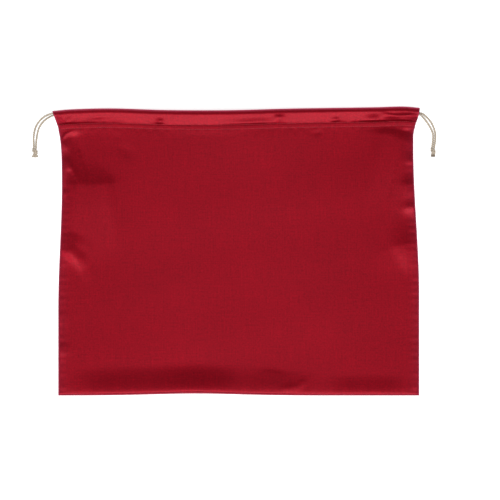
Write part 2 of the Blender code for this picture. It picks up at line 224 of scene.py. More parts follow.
def upperRowLevel(x, fromSide):
    # at the upper row the cloth lies a little higher than at the lower one, less where the mouth is open
    lift = mix(0.0002, 0.0001, mouthShare(x))
    return hemLevel(x, fromSide) + lift * smooth(fromSide / bag["facingInset"])


def driftShare(x):
    return smooth((x - bag["driftFrom"]) / bag["driftLength"])


# creases, as someone would draw them on the cloth
# path in millimetres; up is how far a crest falls away towards the mouth, low towards the bottom

fieldCreases = [
    # under the left corner, where the drawn-in hem ripples the side
    {"path": [(-229, 153.0), (-219, 154.0), (-211, 156.5)], "height": -1.5, "up": 11, "low": 70,
     "round": 0.005},
    {"path": [(-240, 151.0), (-235, 154.5), (-230, 161.0), (-222, 164.5)],
     "height": 1.1, "up": 2.6, "low": 3.2, "round": 0.003},
    {"path": [(-243, 144.5), (-235, 145.0), (-229, 147.5)], "height": 1.2, "up": 9, "low": 18,
     "round": 0.004},
    {"path": [(-241, 121), (-232, 119.5), (-224, 124.5)], "height": 1.5, "up": 13, "low": 48, "round": 0.006},
    # the long sag below it, with its sharp lower edge
    {"path": [(-234, 90.5), (-222, 90), (-203, 90), (-184, 90.5), (-163, 93)],
     "height": 2.0, "up": 35, "low": 110, "swell": 0.60, "round": 0.010, "sharp": True},
    {"path": [(-239, 77), (-229, 78.5)], "height": 0.6, "up": 6, "low": 7},
    {"path": [(-237, 84), (-231, 76)], "height": 0.5, "up": 2.5, "low": 2.5},
    # the slanting crease at the left edge
    {"path": [(-243, 2.0), (-234, 1.5), (-225, -3), (-216, -13), (-208, -27)],
     "height": 1.7, "up": 17, "low": 10, "round": 0.014},
    {"path": [(-241, 17), (-226, 13), (-206, 2)], "height": 1.3, "up": 16, "low": 40, "round": 0.014},
    {"path": [(-240, 32), (-216, 34)], "height": 0.7, "up": 50, "low": 60, "round": 0.020},
    {"path": [(-238, 79), (-233, 74), (-228, 69)], "height": 0.5, "up": 2.2, "low": 2.6, "round": 0.003},
    {"path": [(-245, -91), (-233, -91)], "height": 1.0, "up": 12, "low": 12, "round": 0.008},
    {"path": [(-245, -135), (-231, -134)], "height": 1.4, "up": 13, "low": 16, "round": 0.008},
    # along the bottom seam
    {"path": [(-226, -196.0), (-170, -194.5), (-80, -193), (16, -193.5)], "height": 2.6, "up": 38, "low": 4.0,
     "round": 0.034},
    {"path": [(-112, -192), (-56, -190.5), (0, -192)], "height": 2.2, "up": 40, "low": 5.0, "round": 0.034},
    {"path": [(2, -193.5), (60, -195), (112, -196)], "height": 1.7, "up": 34, "low": 4.0, "round": 0.030},
    {"path": [(124, -196), (180, -195), (232, -195.5)], "height": 1.5, "up": 28, "low": 4.0, "round": 0.020},
    {"path": [(30, -166), (52, -168), (72, -172)], "height": 0.4, "up": 9, "low": 30, "round": 0.010},
    {"path": [(60, -188), (84, -184), (96, -174)], "height": 0.4, "up": 7, "low": 9, "round": 0.006},
    # under the right corner
    {"path": [(186, 163), (205, 159), (224, 151.5), (248, 147)], "height": 1.6, "up": 15, "low": 110,
     "round": 0.012},
    {"path": [(224, 165), (248, 163)], "height": -1.3, "up": 5, "low": 7, "round": 0.006},
    {"path": [(226, 166), (247, 163)], "height": 0.4, "up": 2.5, "low": 3},
    {"path": [(229, 121.5), (248, 121.5)], "height": 0.7, "up": 14, "low": 6, "round": 0.005},
    {"path": [(223, 89.5), (248, 90.5)], "height": 1.7, "up": 16, "low": 50, "round": 0.006, "sharp": True},
    {"path": [(226, 58.5), (249, 59)], "height": 1.3, "up": 12, "low": 10, "round": 0.006},
    {"path": [(208, 2), (219, 6.5), (232, 9), (250, 9)], "height": 2.5, "up": 38, "low": 46, "swell": 0.3,
     "round": 0.017, "sharp": True},
    # small dimples below the hem
    {"path": [(107, 161), (114, 161)], "height": -1.1, "up": 5.5, "low": 5, "round": 0.005},
    {"path": [(-177, 143), (-170, 143)], "height": -0.4, "up": 11, "low": 10, "round": 0.009},
    {"path": [(-166, 156), (-156, 153)], "height": -0.4, "up": 8, "low": 8, "round": 0.008},
    {"path": [(-160, 147), (-141, 128)], "height": -0.4, "up": 12, "low": 12, "round": 0.012},
]

# on the hem, x and the distance below the top fold
hemCreases = [
    {"path": [(-109, 16.5), (-98, 16.5)], "height": 2.0, "up": 7, "low": 3.5, "round": 0.005},
    {"path": [(50, 11.5), (67, 12.0)], "height": 1.1, "up": 5.5, "low": 7, "round": 0.005},
    {"path": [(129, 17.0), (143, 16.5)], "height": 1.3, "up": 6, "low": 3, "round": 0.005},
    {"path": [(167, 19), (187, 18.5), (209, 19)], "height": 2.7, "up": 12.5, "low": 3, "round": 0.013},
    {"path": [(216, 20.0), (232, 20.5), (247, 19)], "height": 2.2, "up": 10, "low": 3, "round": 0.007},
    {"path": [(-26, 18.8), (20, 18.6), (78, 18.4)], "height": 0.9, "up": 8.5, "low": 3, "round": 0.034},
    {"path": [(-226, 14), (-217, 9.5)], "height": 0.9, "up": 6, "low": 7, "round": 0.006},
    {"path": [(-205, 12), (-170, 11)], "height": 0.35, "up": 3, "low": 4, "round": 0.010},
    {"path": [(194, 7.5), (206, 10.5), (219, 14), (233, 12), (247, 9)], "height": 0.7, "up": 4, "low": 9,
     "round": 0.006},
    {"path": [(-224, 18.5), (-190, 19)], "height": 1.4, "up": 15, "low": 3, "round": 0.022},
    {"path": [(-240, 18.5), (-230, 18), (-219, 18.5)], "height": 1.8, "up": 11, "low": 3, "round": 0.007},
    {"path": [(-243, 9), (-233, 8)], "height": 0.6, "up": 4, "low": 5, "round": 0.005},
]

crestWidth = 0.0012      # a sharp crest is still rounded over this width


def creaseHeight(creases, x, y, upSign=1):
    # each crease is a crest (or a valley) that falls away to nothing over "up" and "low" millimetres
    total = np.zeros_like(x)
    for crease in creases:
        path = np.array(crease["path"], float) / 1000
        runs = np.hypot(*(path[1:] - path[:-1]).T)
        along = np.concatenate([[0], np.cumsum(runs)])
        best = np.full(x.shape, 1e9)
        signed, place, beyond = np.zeros_like(x), np.zeros_like(x), np.zeros_like(x)
        for k in range(len(runs)):
            ax, ay = path[k]
            dx, dy = (path[k + 1] - path[k]) / runs[k]
            t = (x - ax) * dx + (y - ay) * dy
            held = np.clip(t, 0, runs[k])
            far = np.hypot(x - ax - held * dx, y - ay - held * dy)
            closer = far < best
            best = np.where(closer, far, best)
            signed = np.where(closer, (-(x - ax) * dy + (y - ay) * dx) * upSign, signed)
            place = np.where(closer, along[k] + held, place)
            beyond = np.where(closer, np.abs(t - held), beyond)
        share = place / along[-1]
        swell = crease.get("swell", 0.0)
        arch = np.sin(np.pi * np.clip(share, 0, 1))
        upReach = crease["up"] / 1000 * (1 - swell + swell * arch ** 1.5)
        reach = np.where(signed > 0, upReach, crease["low"] / 1000)
        part = np.minimum(1.0, np.abs(signed) / reach)
        fall = 0.5 + 0.5 * np.cos(np.pi * part)
        if crease.get("sharp"):
            # steepest beside the crest itself
            blunt = crestWidth / reach
            rounded = np.minimum(1.0, np.sqrt(part ** 2 + blunt ** 2) - blunt)
            fall = np.where(signed > 0, (1 - rounded) ** 2, fall)
        ending = crease.get("round", 0.004)
        first = smooth(0.25 + share * along[-1] / (2.2 * ending))
        last = smooth(0.25 + (1 - share) * along[-1] / (2.2 * ending))
        ends = np.exp(-(beyond / ending) ** 2) * first * last
        total += crease["height"] / 1000 * fall * ends
    return total


def waves(x, seed, lengths, count=4):
    # a few sine waves with fixed random phases, between -1 and 1 or so
    rng = np.random.default_rng(seed)
    out = np.zeros_like(x)
    for _ in range(count):
        wave = np.sin(2 * np.pi * x / rng.uniform(*lengths) + rng.uniform(0, 2 * np.pi))
        out += wave * rng.uniform(0.5, 1.0)
    return out / count * 1.3


# fine unevenness of the front, in metres: height, seed and the range of wavelengths

ripples = {
    "side": (0.00022, 11, (0.009, 0.021)),
    "bottom": (0.00018, 12, (0.010, 0.024)),
    "belowHem": (0.00012, 13, (0.008, 0.018)),
    "slowAcross": (0.00025, 14, (0.09, 0.21)),
    "slowDown": (0.00020, 15, (0.08, 0.19)),
    "betweenRows": (0.00010, 21, (0.007, 0.016)),
    "gathers": (0.00024, 22, (0.007, 0.017)),
    "tunnel": (0.00022, 23, (0.020, 0.060)),
}


def ripple(name, x):
    height, seed, lengths = ripples[name]
    return height * waves(x, seed, lengths)


# the front panel

frontShape = {
    "steep": (0.86, 0.00045), "gentle": (0.14, 0.0030),      # shares of the rise at a seam, and their lengths
    "belowHem": 0.010, "puffLength": 0.110,
    "fullness": 0.0024, "fullFrom": 0.10, "fullLength": 0.29,
    "rowPull": 0.00010, "innerFrom": 0.006,
}


def frontBody(x, y, fromSide, fromBottom, fromHem):
    share = fromBottom / (fromBottom + fromHem)
    ramp = mix(seamLevel, hemLevel(x, fromSide), share)
    # the satin stands up sharply from the seam and then more gently
    (steep, steepLength), (gentle, gentleLength) = frontShape["steep"], frontShape["gentle"]
    edge = 1.0
    for away in (fromSide, fromBottom):
        edge = edge * (1 - steep * np.exp(-away / steepLength) - gentle * np.exp(-away / gentleLength))
    atHem = smooth(fromHem / frontShape["belowHem"])
    flatter = mix(1.0, smooth(fromHem / frontShape["puffLength"]), share)
    puff = bag["puff"] * flatter * (1 - mouthShare(x) * share)
    # seams pull the satin into small puckers
    pucker = ripple("side", y) * np.exp(-(fromSide / 0.010) ** 2)
    pucker = pucker + ripple("bottom", x) * np.exp(-(fromBottom / 0.009) ** 2)
    pucker = pucker + ripple("belowHem", x) * np.exp(-((fromHem - 0.004) / 0.006) ** 2)
    slow = ripple("slowAcross", x + 0.35 * y) + ripple("slowDown", y - 0.2 * x)
    full = np.maximum(0.0, (frontShape["fullFrom"] - y) / frontShape["fullLength"])
    slow = slow + frontShape["fullness"] * full ** 1.6
    relief = (creaseHeight(fieldCreases, x, y) + slow) * atHem + pucker * smooth(fromHem / 0.003)
    return np.maximum(seamLevel, ramp + edge * (puff + relief))


def frontHem(layer, down, height, x, fromSide):
    upHem = min(1.0, (bag["hem"] - down) / (bag["hem"] - bag["tunnel"]))
    # most of the step up to the tunnel lies just above the lower row of stitches
    stitched = mix(hemLevel(x, fromSide), upperRowLevel(x, fromSide), float(smooth(upHem / 0.85)))
    facing = frontFacing(x)
    inner = smooth(fromSide / frontShape["innerFrom"])
    if layer == "stitched":
        bump = ripple("betweenRows", x) * 4 * upHem * (1 - upHem)
        sewn = math.exp(-(upHem / 0.10) ** 2) + 1.3 * math.exp(-((1 - upHem) / 0.13) ** 2)
        return stitched + (bump + frontShape["rowPull"] * (1 - sewn)) * inner
    if layer == "hem":
        return stitched - height * pitch
    if layer == "facing":
        return facing
    if layer == "slope":
        ridge = facing + overCords + bag["slack"] - cornerDrop(fromSide)
        bulge = bag["driftBulge"] * driftShare(x) * math.exp(-((down - driftLane) / bag["driftWidth"]) ** 2)
        puckers = ripple("gathers", x) * (1 - height) ** 0.7
        puckers = puckers + ripple("tunnel", x) * math.sin(math.pi * height)
        creases = creaseHeight(hemCreases, x, np.full_like(x, down), upSign=-1)
        folds = (puckers + creases) * min(1.0, 6 * height) * inner
        return mix(stitched, ridge, height ** 0.85) + bulge + folds
    return facing + height - cornerDrop(fromSide)


# the end of either hem, turned under: layer, depth below the top fold and height in layers of cloth
turnedUnder = [("hem", bag["hem"] + bag["gap"], 1.5), ("hem", bag["hem"], 1.0),
               ("hem", bag["tunnel"] + pitch, 1.0)]


def rowsOfFrontHem():
    # every row of the hem from the lower stitches up, over the fold and down inside: layer, depth and height
    rows = [("stitched", mix(bag["hem"], bag["tunnel"], k / 12), 0.0) for k in range(13)]
    shares = [0.025, 0.055] + [0.055 + 0.945 * k / 15 for k in range(1, 16)]
    rows += [("slope", mix(bag["tunnel"], laneSecond, share), share) for share in shares]
    ridge = [(0.0052, 0.98), (0.0043, 0.90), (0.0034, 0.76), (0.0026, 0.52), (0.0019, 0.18)]
    turn = [(0.0013, 0.95), (0.0008, 0.80), (0.0004, 0.62), (0.0001, 0.44),
            (0.0, 0.26), (0.0002, 0.10), (0.0006, 0.01)]
    rows += [("fold", down, overCords + share * bag["slack"]) for down, share in ridge]
    rows += [("fold", down, share * overCords) for down, share in turn]
    inside = (0.0016, 0.0040, 0.0070, 0.0105, 0.0140, bag["tunnel"] - 0.5 * cordPitch)
    rows += [("facing", down, 0.0) for down in inside]
    rows += [("hem", down, 2.0) for down in (bag["tunnel"], 0.023, bag["hem"])]
    return rows + turnedUnder


# the back panel, flat on the table

def rowsOfBackHem():
    flat = (bag["hem"], bag["tunnel"], 0.015, 0.010, 0.006, bag["laneTop"], 0.0011)
    rows = [("flat", down, 0.0) for down in flat]
    rows += [("fold", 0.0003, 0.0002)]
    turn = [(0.0, 0.24), (0.0003, 0.45), (0.0007, 0.63), (0.0012, 0.78)]
    rows += [("fold", down, share * overCords) for down, share in turn]
    rows += [("facing", 0.0026, 0.97 * overCords)]
    rows += [("facing", down, overCords) for down in (bag["laneTop"] + bag["cord"], 0.009, 0.013)]
    rows += [("facing", bag["tunnel"] - 0.75 * cordPitch, overCords),
             ("facing", bag["tunnel"] - 0.3 * cordPitch, 0.66 * overCords)]
    rows += [("hem", bag["tunnel"], 2.0), ("hem", bag["hem"], 2.0)]
    return rows + turnedUnder


def backHem(layer, down, height, x, fromSide):
    if layer == "hem":
        return backLevel + height * pitch + 0 * x
    return backLevel + height + 0 * x


def backBody(x, y, fromSide, fromBottom, fromHem):
    return backLevel + 0 * x


def graded(length, first, growth, widest):
    places, step = [0.0], first
    while places[-1] < length:
        places.append(places[-1] + step)
        step = min(widest, step * growth)
    return [p * length / places[-1] for p in places]


def bothWays(length, first, growth, widest):
    half = graded(length / 2, first, growth, widest)
    return half + [length - p for p in reversed(half[:-1])]


# either panel: rows and columns of points, closest together at the edges

# how far the painted sheen reaches at the sides, beside them, at the fold and along the bottom
paintedSheenLook = {"side": 0.0010, "beside": (0.08, 0.009), "fold": 0.0017, "bottom": (0.7, 0.0008)}


def panelGrid(columns, ups, hemRows, bodyLevel, hemHeight):
    grid = np.zeros((len(ups) + len(hemRows), len(columns), 3))
    for r, up in enumerate(ups):
        x = columns * halfWidth
        for _ in range(3):
            y = mix(bottomEdge(x), topEdge(x) - bag["hem"], up)
            down = topEdge(x) - y
            x = mix(leftEdge(down), rightEdge(down), (columns + 1) / 2)
        fromHem = np.maximum(0.0, topEdge(x) - bag["hem"] - y)
        grid[r, :, 0], grid[r, :, 1] = x, y
        grid[r, :, 2] = bodyLevel(x, y, sideDistance(x, down), np.maximum(0, y - bottomEdge(x)), fromHem)
    for r, (layer, down, height) in enumerate(hemRows, start=len(ups)):
        x = mix(leftEdge(down), rightEdge(down), (columns + 1) / 2)
        grid[r, :, 0], grid[r, :, 1] = x, topEdge(x) - down
        grid[r, :, 2] = hemHeight(layer, down, height, x, sideDistance(x, down))
    return grid


def paintedSheenShare(grid):
    # how close each point is to a seam or to the fold, where light catches the turn of the cloth; this is the
    # share of painted sheen there
    x, y = grid[..., 0], grid[..., 1]
    toSide = np.maximum(0.0, sideDistance(x, topEdge(x) - y))
    beside, besideLength = paintedSheenLook["beside"]
    edge = np.maximum(np.exp(-toSide / paintedSheenLook["side"]), beside * np.exp(-(toSide / besideLength) ** 2))
    edge = np.maximum(edge, np.exp(-(np.maximum(0.0, topEdge(x) - y) / paintedSheenLook["fold"]) ** 2))
    bottom, bottomLength = paintedSheenLook["bottom"]
    return np.maximum(edge, bottom * np.exp(-np.maximum(0.0, y - bottomEdge(x)) / bottomLength))


def clothPlaces(grid, columns):
    # how far each point is across and along the cut cloth, for the weave
    across = np.broadcast_to(columns * halfWidth, grid.shape[:2])
    spans = np.linalg.norm(np.diff(grid[:, len(columns) // 2], axis=0), axis=1)
    along = np.broadcast_to(np.concatenate([[0], np.cumsum(spans)])[:, None], grid.shape[:2])
    return [Vector(place) for place in zip(across.ravel(), along.ravel())]


def addAllowance(mesh, cloth, nCols, hemRow, turn):
    # the seam allowance down both sides and along the bottom: round the fold and flat inside
    corners = [mesh.verts[0], mesh.verts[nCols - 1]]
    left = [mesh.verts[r * nCols] for r in range(hemRow, 0, -1)]
    bottom = [mesh.verts[c] for c in range(nCols)]
    right = [mesh.verts[r * nCols + nCols - 1] for r in range(1, hemRow + 1)]
    outward = [(-1, 0)] * len(left) + [(-1, -1)] + [(0, -1)] * (nCols - 2) + [(1, -1)] + [(1, 0)] * len(right)
    paintedSheenLayer = mesh.verts.layers.float["edge"]
    rings = [left + bottom + right]
    for k, level in enumerate((0.5, 1.0, 1.0)):
        ring = []
        for v, (side, end) in zip(rings[0], outward):
            toCorner = min((v.co - c.co).length for c in corners)
            reach = (bag["gap"], 0.0, -min(bag["allowance"], 0.0004 + 0.7 * toCorner))[k]
            new = mesh.verts.new(v.co + Vector((side * reach, end * reach, turn * level * pitch)))
            # the rolled seam takes the full painted sheen
            new[paintedSheenLayer] = 1.0
            past = (0.0003, 0.0009, 0.0009 + max(0.0, -reach))[k]
            cloth.append(cloth[v.index] + Vector((side * past, end * past)))
            ring.append(new)
        rings.append(ring)
    mesh.verts.index_update()
    for near, far in zip(rings, rings[1:]):
        for i in range(len(near) - 1):
            mesh.faces.new((near[i], near[i + 1], far[i + 1], far[i]))


def makePanel(name, steps, hemRows, bodyLevel, hemHeight, turn):
    # a grid primitive with a row of points for each row of cloth, shaped into the panel, its fold and facing
    bodyLength = bag["height"] - bag["hem"]
    columns = np.array([2 * p / bag["width"] - 1 for p in bothWays(bag["width"], *steps)])
    ups = [p / bodyLength for p in bothWays(bodyLength, *steps)][:-1]
    nCols, hemRow = len(columns), len(ups)
    nRows = hemRow + len(hemRows)
    deselectAll()
    bpy.ops.mesh.primitive_grid_add(x_subdivisions=nCols - 1, y_subdivisions=nRows - 1, size=1)
    panel = bpy.context.object
    panel.name = panel.data.name = name
    grid = panelGrid(columns, ups, hemRows, bodyLevel, hemHeight)
    panel.data.vertices.foreach_set("co", grid.ravel())
    # the attribute edge holds each point's share of the painted sheen
    panel.data.attributes.new("edge", "FLOAT", "POINT").data.foreach_set("value", paintedSheenShare(grid).ravel())
    cloth = clothPlaces(grid, columns)
    mesh = bmesh.new()
    mesh.from_mesh(panel.data)
    uvLayer = mesh.loops.layers.uv.new("cloth")
    mesh.verts.ensure_lookup_table()
    # the facing stops short of both sides, so that the cords can pass
    cut = int(np.argmax((columns + 1) * halfWidth >= bag["facingInset"]))
    inside = [hemRow + k for k, row in enumerate(hemRows) if row[0] in ("facing", "hem")]
    short = [c for c in range(nCols) if not cut <= c <= nCols - 1 - cut]
    gone = [mesh.verts[r * nCols + c] for r in inside for c in short]
    addAllowance(mesh, cloth, nCols, hemRow, turn)
    for face in mesh.faces:
        for loop in face.loops:
            loop[uvLayer].uv = cloth[loop.vert.index]
    bmesh.ops.delete(mesh, geom=gone, context="VERTS")
    bmesh.ops.recalc_face_normals(mesh, faces=mesh.faces)
    mesh.to_mesh(panel.data)
    mesh.free()
    panel.data.shade_smooth()
    panel.data.materials.clear()
    panel.data.materials.append(satin)
    wall = panel.modifiers.new("cloth", "SOLIDIFY")
    wall.thickness = bag["satin"]
    wall.offset = 0.0
    wall.use_even_offset = True
    applyAll(panel)
    print(name, "panel:", len(panel.data.polygons), "faces")
    return panel


# satin

satinLook = {
    "colour": (0.285, 0.0008, 0.0060),
    # colour of the painted sheen at the seams and the fold
    "edge": (0.385, 0.050, 0.105),
    "tint": (1.0, 0.19, 0.38),
    "roughness": 0.52,
    "metallic": 0.75,
    "thread": 0.00034,       # width of one yarn of the weave
}


def satinMaterial():
    m, tree = newMaterial("satin")
    uv = addNode(tree, "UVMap", uv_map="cloth").outputs["UV"]
    # slow unevenness of the dye and the lie of the cloth
    cloud = addNode(tree, "TexNoise", {"Vector": uv, "Scale": 9.0, "Detail": 3.0})
    # streaks of single yarns, long along the warp and along the weft
    streaks = []
    for stretch in ((900.0, 26.0, 1.0), (30.0, 700.0, 1.0)):
        turn = addNode(tree, "Mapping", {"Vector": uv, "Scale": stretch})
        streak = addNode(tree, "TexNoise", {"Vector": turn.outputs["Vector"], "Scale": 1.0, "Detail": 2.0})
        streaks.append(streak.outputs["Fac"])
    both = addNode(tree, "Mix", {"Factor": 0.45, "A": streaks[0], "B": streaks[1]}, data_type="FLOAT")
    # grain of the uneven filament, a couple of millimetres across
    grain = addNode(tree, "TexNoise", {"Vector": uv, "Scale": 380.0, "Detail": 2.0})
    shade = ranged(tree, both.outputs["Result"], (0.25, 0.75), (0.78, 1.22))
    drift = ranged(tree, cloud.outputs["Fac"], (0.3, 0.7), (0.95, 1.05))
    grained = ranged(tree, grain.outputs["Fac"], (0.3, 0.7), (0.82, 1.18))
    slow = addNode(tree, "Math", {0: grained, 1: drift}, operation="MULTIPLY")
    product = addNode(tree, "Math", {0: shade, 1: slow.outputs["Value"]}, operation="MULTIPLY")
    dye = addNode(tree, "Mix", {
        "Factor": 1.0, "A": (*satinLook["colour"], 1), "B": product.outputs["Value"],
    }, data_type="RGBA", blend_type="MULTIPLY")
    # painted sheen: near the seams and the fold the colour turns duller and a little purple, standing in for
    # the grazing reflection at the turn of the cloth
    paintedSheenMask = addNode(tree, "Attribute", attribute_name="edge")
    sheenPaintedColour = addNode(tree, "Mix", {
        "Factor": paintedSheenMask.outputs["Fac"], "A": dye.outputs["Result"], "B": (*satinLook["edge"], 1),
    }, data_type="RGBA")
    # the weave itself: floats of the warp, stepped to one side from row to row
    quarter = addNode(tree, "Mapping", {"Vector": uv, "Rotation": (0, 0, math.radians(90))})
    weave = addNode(tree, "TexBrick", {
        "Vector": quarter.outputs["Vector"], "Scale": 1.0,
        "Mortar Size": satinLook["thread"] * 0.22, "Mortar Smooth": 1.0,
        "Brick Width": satinLook["thread"] * 4, "Row Height": satinLook["thread"],
        "Color1": (1, 1, 1, 1), "Color2": (0.8, 0.8, 0.8, 1), "Mortar": (0, 0, 0, 1),
    }, offset=0.4, offset_frequency=2)
    relief = addNode(tree, "Math", {
        0: weave.outputs["Color"], 1: 0.5, 2: both.outputs["Result"],
    }, operation="MULTIPLY_ADD")
    bump = addNode(tree, "Bump", {"Height": relief.outputs["Value"], "Strength": 0.60, "Distance": 0.00012})
    tangent = addNode(tree, "Tangent", direction_type="UV_MAP", uv_map="cloth")
    feed(tree, tree.nodes["Principled BSDF"], {
        "Base Color": sheenPaintedColour.outputs["Result"], "Normal": bump.outputs["Normal"],
        "Tangent": tangent.outputs["Tangent"],
        "Roughness": satinLook["roughness"], "Metallic": satinLook["metallic"],
        "Anisotropic": 0.45, "IOR": 1.7, "Specular IOR Level": 0.75, "Specular Tint": (*satinLook["tint"], 1),
        "Coat Weight": 0.07, "Coat Roughness": 0.30,
        "Sheen Weight": 0.8, "Sheen Roughness": 0.22, "Sheen Tint": (1.0, 0.45, 0.72, 1),
    })
    return m


satin = satinMaterial()

# how the columns and rows of each panel widen from its edges: first step, growth and widest step
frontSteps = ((0.0005, 1.25, 0.0025))
backSteps = (0.0012, 1.35, 0.0060)

frontPanel = makePanel("frontSatin", frontSteps, rowsOfFrontHem(), frontBody, frontHem, -1)
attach(frontPanel, "root")
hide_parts("front_panel")

backPanel = makePanel("backSatin", backSteps, rowsOfBackHem(), backBody, backHem, 1)
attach(backPanel, "root")
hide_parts("back_panel")

# the two drawcords, on the same route as the CAD ones

cordSettings = {
    "onTable": 0.00156, "laneStep": 0.024, "turnLead": 0.0035, "leftEntry": -0.240,
    "leftTurn": -0.231, "rightTurn": 0.229, "frontExit": 0.0092, "backExit": 0.0074,
    "tunnelEnd": 0.2512, "loosening": 0.003,
    "twist": 0.0076,         # one full turn of the three plies
    "ply": 0.00069, "plyOff": 0.00064, "step": 0.00078, "quickStep": 0.0012, "sides": 24,
    "loose": 0.12, "phase": 0.0,
}
strands = {
    "leftOuter": [(-0.27500, 0.1396, 0.00105), (-0.27530, 0.1458, 0.0003), (-0.2755, 0.1530, 0),
                  (-0.2747, 0.1608, 0), (-0.2723, 0.1692, 0), (-0.2674, 0.1768, 0.0002),
                  (-0.2604, 0.1829, 0.0016)],
    "leftInner": [(-0.27215, 0.1396, 0.00105), (-0.27200, 0.1458, 0.0003), (-0.2713, 0.1530, 0),
                  (-0.2702, 0.1600, 0), (-0.2682, 0.1670, 0), (-0.2640, 0.1739, 0),
                  (-0.2575, 0.1799, 0.0002)],
    "rightOuter": [(0.26950, 0.1400, 0.00105), (0.27030, 0.1452, 0.0003), (0.2711, 0.1515, 0),
                   (0.2711, 0.1594, 0), (0.2691, 0.1673, 0), (0.2651, 0.1754, 0),
                   (0.2592, 0.1823, 0), (0.2538, 0.1865, 0.0003)],
    "rightInner": [(0.26665, 0.1400, 0.00105), (0.26735, 0.1452, 0.0003), (0.2680, 0.1515, 0),
                   (0.2678, 0.1594, 0), (0.2651, 0.1665, 0), (0.2604, 0.1742, 0.0002),
                   (0.2556, 0.1803, 0.0018)],
}


def frontLane(x, lane):
    drop = cornerDrop(sideDistance(x, lane))
    return (x, float(topEdge(x)) - lane, float(frontFacing(x) + overCords / 2 - drop))


def backLane(x, lane):
    return (x, float(topEdge(x)) - lane, backLevel + overCords / 2)


def lanePlaces(start, end):
    way = 1 if end > start else -1
    first, last = start + way * cordSettings["turnLead"], end - way * cordSettings["turnLead"]
    count = max(1, round(abs(last - first) / cordSettings["laneStep"]))
    return [mix(first, last, k / count) for k in range(count + 1)]


def endTurn(turnX, way, lane):
    points = []
    top, bottom = frontLane(turnX, lane)[2], backLevel + overCords / 2
    for degrees in range(0, 181, 30):
        half = (1 - math.cos(math.radians(degrees))) / 2
        points.append((turnX + way * bag["bend"] * math.sin(math.radians(degrees)),
                       float(topEdge(turnX)) - lane - turnReach * half, mix(top, bottom, half)))
    return points


def outside(points):
    return [(x, y, cordSettings["onTable"] + off) for x, y, off in points]


def leftRoute():
    route = outside(strands["leftOuter"])
    left, right = cordSettings["leftEntry"], cordSettings["rightTurn"]
    route += [frontLane(x, bag["laneTop"]) for x in [-0.2503, -0.244] + lanePlaces(left, right)]
    route += endTurn(right, 1, bag["laneTop"])
    low = bag["laneTop"] + turnReach
    for x in lanePlaces(right, left):
        share = (right - x) / (right - left)
        route.append(backLane(x, mix(low, laneSecond, float(smooth(share)))))
    route += [backLane(x, laneSecond) for x in (-0.2425, -0.2490)]
    return route + list(reversed(outside(strands["leftInner"])))


def rightRoute():
    route = outside(strands["rightInner"])
    left, firstLane = cordSettings["leftTurn"], cordSettings["frontExit"]
    route += [frontLane(0.2496, firstLane), frontLane(0.2445, mix(firstLane, driftLane, 0.5))]
    for x in [0.2375, 0.227, 0.217, 0.207, 0.197] + lanePlaces(bag["driftFrom"], left):
        route.append(frontLane(x, mix(laneSecond, driftLane, float(driftShare(x)))))
    route += endTurn(left, -1, laneSecond + bag["gap"])
    low = laneSecond + bag["gap"] + turnReach
    route += [backLane(x, low) for x in lanePlaces(left, 0.2300)]
    route += [backLane(0.2335, low - 0.0003), backLane(0.2385, low - 0.0027), backLane(0.2430, low - 0.0062),
              backLane(0.2482, cordSettings["backExit"])]
    return route + list(reversed(outside(strands["rightOuter"])))


def smoothLine(points, step):
    line = [Vector(p) for p in points]
    ends = [line[0] * 2 - line[1]] + line + [line[-1] * 2 - line[-2]]
    found = [line[0]]
    for a, b, c, d in zip(ends, ends[1:], ends[2:], ends[3:]):
        near, span, far = (b - a).length ** 0.5, (c - b).length ** 0.5, (d - c).length ** 0.5
        leave = (b - a) / near - (c - a) / (near + span) + (c - b) / span
        arrive = (c - b) / span - (d - b) / (span + far) + (d - c) / far
        pieces = max(1, round((c - b).length / step))
        for k in range(1, pieces + 1):
            t = k / pieces
            found.append(b * (2 * t ** 3 - 3 * t ** 2 + 1) + leave * span * (t ** 3 - 2 * t ** 2 + t)
                         + c * (3 * t ** 2 - 2 * t ** 3) + arrive * span * (t ** 3 - t ** 2))
    return found


def evenly(line, step):
    pts = np.array([tuple(p) for p in line])
    along = np.concatenate([[0], np.cumsum(np.linalg.norm(np.diff(pts, axis=0), axis=1))])
    places = np.linspace(0, along[-1], max(2, round(along[-1] / step)) + 1)
    return np.column_stack([np.interp(places, along, pts[:, k]) for k in range(3)]), float(along[-1])


def ropeSection(angle, ply, off):
    # three plies side by side round the middle, as a radius for each angle
    best = np.zeros_like(angle)
    for k in range(3):
        turned = np.cos(angle - 2 * math.pi * k / 3)
        reach = off * turned + np.sqrt(np.maximum(0.0, ply ** 2 - off ** 2 * (1 - turned ** 2)))
        best = np.maximum(best, np.where(off ** 2 * (1 - turned ** 2) < ply ** 2, reach, 0.0))
    return best


def framesAlong(pts):
    # a frame carried along the line without twist
    ways = np.gradient(pts, axis=0)
    ways /= np.linalg.norm(ways, axis=1)[:, None]
    normal = np.cross(ways[0], (0, 0, 1.0))
    if np.linalg.norm(normal) < 1e-6:
        normal = np.array([1.0, 0, 0])
    normals = []
    for way in ways:
        normal = normal - way * normal.dot(way)
        normal = normal / np.linalg.norm(normal)
        normals.append(normal)
    normals = np.array(normals)
    return ways, normals, np.cross(ways, normals)


def looseness(x, loose):
    # outside the tunnel nothing squeezes the cord
    return 1 + loose * float(smooth((abs(x) - cordSettings["tunnelEnd"]) / cordSettings["loosening"]))


